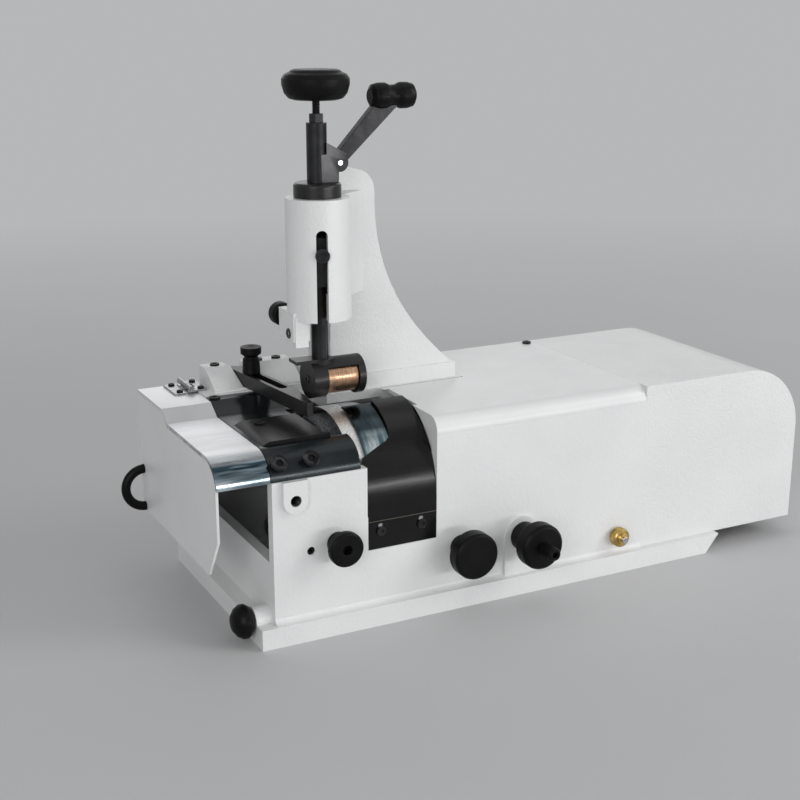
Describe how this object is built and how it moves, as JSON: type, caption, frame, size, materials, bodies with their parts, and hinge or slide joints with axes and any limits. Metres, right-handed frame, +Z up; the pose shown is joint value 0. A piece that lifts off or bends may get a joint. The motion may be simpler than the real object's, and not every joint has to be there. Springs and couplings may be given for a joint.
{
  "type": "leather skiving machine",
  "caption": "Bench machine with a cast body, presser column, edge guide and hinged side cover, which thins the margins of leather with a turning bell knife.",
  "frame": {"origin": "centre of the base flange's rectangle, on its underside", "axes": "+X to the right along the front, towards the belt cover; +Y to the back; +Z up"},
  "size_m": [0.5161, 0.221, 0.381],
  "materials": {
    "white_paint": "white paint with a fine orange peel",
    "black_finish": "black oxide and black lacquer",
    "dark_steel": "blackened steel",
    "steel": "ground steel",
    "bright_steel": "polished sheet",
    "brass": "turned brass",
    "bronze": "turned bronze",
    "stone": "bonded abrasive",
    "belt": "rubber"
  },
  "bodies": {
    "frame": {"base_flange": "white_paint", "front_wall": "white_paint", "body_frame": "white_paint", "table_plate": "black_finish", "table_screws": "dark_steel", "throat_plate": "black_finish", "rear_deck": "white_paint", "hinge_leaf_fixed": "steel", "hinge_pin": "steel", "knife_guard": "black_finish", "guard_screws": "dark_steel", "chip_deflector": "bright_steel", "main_cover": "white_paint", "rear_cover": "white_paint", "cover_screws": "dark_steel", "presser_arm": "white_paint", "arm_bolts": "dark_steel", "bar_bush": "brass", "column_cap": "black_finish", "lever_bracket": "dark_steel", "lever_pin": "steel", "lock_nut": "dark_steel", "presser_spring": "steel", "feed_gear_case": "dark_steel", "stone_belt": "belt", "nut_stud": "steel"},
    "side_cover": {"side_sheet": "bright_steel", "side_wall": "white_paint", "bow_handle": "black_finish", "hinge_leaf_moving": "steel", "hinge_screws_moving": "dark_steel"},
    "regulator": {"regulator_screw": "dark_steel", "regulator_knob": "black_finish"},
    "lever": {"lift_lever": "dark_steel", "lever_grip": "black_finish"},
    "presser": {"presser_bar": "dark_steel", "guide_screw": "dark_steel", "foot_holder": "black_finish", "roller_axle": "dark_steel"},
    "roller": {"presser_roller": "bronze"},
    "clamp": {"clamp_knob": "black_finish"},
    "guide": {"edge_guide": "black_finish"},
    "thumb": {"guide_thumb_screw": "black_finish"},
    "quill": {"knife_quill": "steel", "knife_bearings": "steel"},
    "knife": {"bell_knife": "steel", "knife_shaft": "steel", "knife_pulley": "dark_steel"},
    "feed": {"feed_roll": "stone"},
    "feed_drive": {"feed_shaft": "steel", "feed_pulley": "dark_steel"},
    "sleeve": {"stone_sleeve": "steel"},
    "stone": {"grindstone": "stone", "stone_spindle": "steel"},
    "feed_knob": {"feed_lift_knob": "black_finish"},
    "knife_knob": {"knife_advance_knob": "black_finish"},
    "stone_knob": {"stone_feed_knob": "black_finish", "stone_lock_screw": "dark_steel"},
    "nut": {"brass_nut": "brass"},
    "chute": {"chute_knob": "black_finish"}
  },
  "joints": [
    {"name": "side_cover_hinge", "type": "hinge", "parent": "frame", "child": "side_cover", "pos_m": [-0.1835, 0.072, 0.1474], "axis": [0, 1, 0], "range_deg": [0, 100]},
    {"name": "lever_turn", "type": "hinge", "parent": "frame", "child": "lever", "pos_m": [-0.101, -0.024, 0.319], "axis": [0, 1, 0], "range_deg": [0, 50]},
    {"name": "presser_lift", "type": "slide", "parent": "frame", "child": "presser", "axis": [0, 0, 1], "range_m": [0, 0.008], "stiffness_N_per_m": 200, "springref_m": -0.005, "deforming": ["presser_spring"]},
    {"name": "roller_spin", "type": "hinge", "parent": "presser", "child": "roller", "pos_m": [-0.105, -0.024, 0.168], "axis": [1, 0, 0], "continuous": true},
    {"name": "regulator_turn", "type": "hinge", "parent": "frame", "child": "regulator", "pos_m": [-0.115, -0.024, 0.37], "axis": [0, 0, 1], "range_deg": [-360, 360]},
    {"name": "clamp_turn", "type": "hinge", "parent": "frame", "child": "clamp", "pos_m": [-0.133, 0.002, 0.211], "axis": [0, 1, 0], "range_deg": [-180, 180]},
    {"name": "guide_slide", "type": "slide", "parent": "frame", "child": "guide", "axis": [0.1219, -0.9925, 0], "range_m": [-0.012, 0.006]},
    {"name": "thumb_turn", "type": "hinge", "parent": "frame", "child": "thumb", "pos_m": [-0.13961, 0.048, 0.165], "axis": [0, 0, 1], "range_deg": [-180, 180]},
    {"name": "knife_knob_turn", "type": "hinge", "parent": "frame", "child": "knife_knob", "pos_m": [-0.033, -0.09, 0.046], "axis": [0, 1, 0], "range_deg": [-30, 30]},
    {"name": "knife_slide", "type": "slide", "parent": "frame", "child": "quill", "axis": [1, 0, 0], "range_m": [-0.0036, 0.0036]},
    {"name": "knife_spin", "type": "hinge", "parent": "quill", "child": "knife", "pos_m": [-0.04, -0.024, 0.089], "axis": [1, 0, 0], "continuous": true},
    {"name": "feed_drive_spin", "type": "hinge", "parent": "frame", "child": "feed_drive", "pos_m": [0.01, 0.038, 0.114], "axis": [1, 0, 0], "continuous": true},
    {"name": "feed_spin", "type": "hinge", "parent": "frame", "child": "feed", "pos_m": [-0.12, -0.024, 0.112], "axis": [1, 0, 0], "continuous": true},
    {"name": "stone_knob_turn", "type": "hinge", "parent": "frame", "child": "stone_knob", "pos_m": [0.018, -0.09, 0.046], "axis": [0, 1, 0], "range_deg": [-25, 25]},
    {"name": "stone_slide", "type": "slide", "parent": "frame", "child": "sleeve", "axis": [1, 0, 0], "range_m": [-0.003, 0.003]},
    {"name": "stone_spin", "type": "hinge", "parent": "sleeve", "child": "stone", "pos_m": [-0.09, 0.02408, 0.04092], "axis": [1, 0, 0], "continuous": true},
    {"name": "feed_knob_turn", "type": "hinge", "parent": "frame", "child": "feed_knob", "pos_m": [-0.131, -0.09, 0.067], "axis": [0, 1, 0], "range_deg": [-180, 180]},
    {"name": "nut_turn", "type": "hinge", "parent": "frame", "child": "nut", "pos_m": [0.105, -0.09, 0.029], "axis": [0, 1, 0], "range_deg": [-180, 180]},
    {"name": "chute_knob_turn", "type": "hinge", "parent": "frame", "child": "chute", "pos_m": [-0.19, -0.071, 0.016], "axis": [1, 0, 0], "range_deg": [-180, 180]}
  ],
  "couplings": [
    {"joint": "lever_turn", "follows": "presser_lift", "rad_per_m": 109},
    {"joint": "knife_knob_turn", "follows": "knife_slide", "rad_per_m": 142.86},
    {"joint": "stone_knob_turn", "follows": "stone_slide", "rad_per_m": 142.86},
    {"joint": "feed_spin", "follows": "feed_drive_spin", "ratio": -1},
    {"joint": "stone_spin", "follows": "knife_spin", "ratio": 1.4}
  ]
}
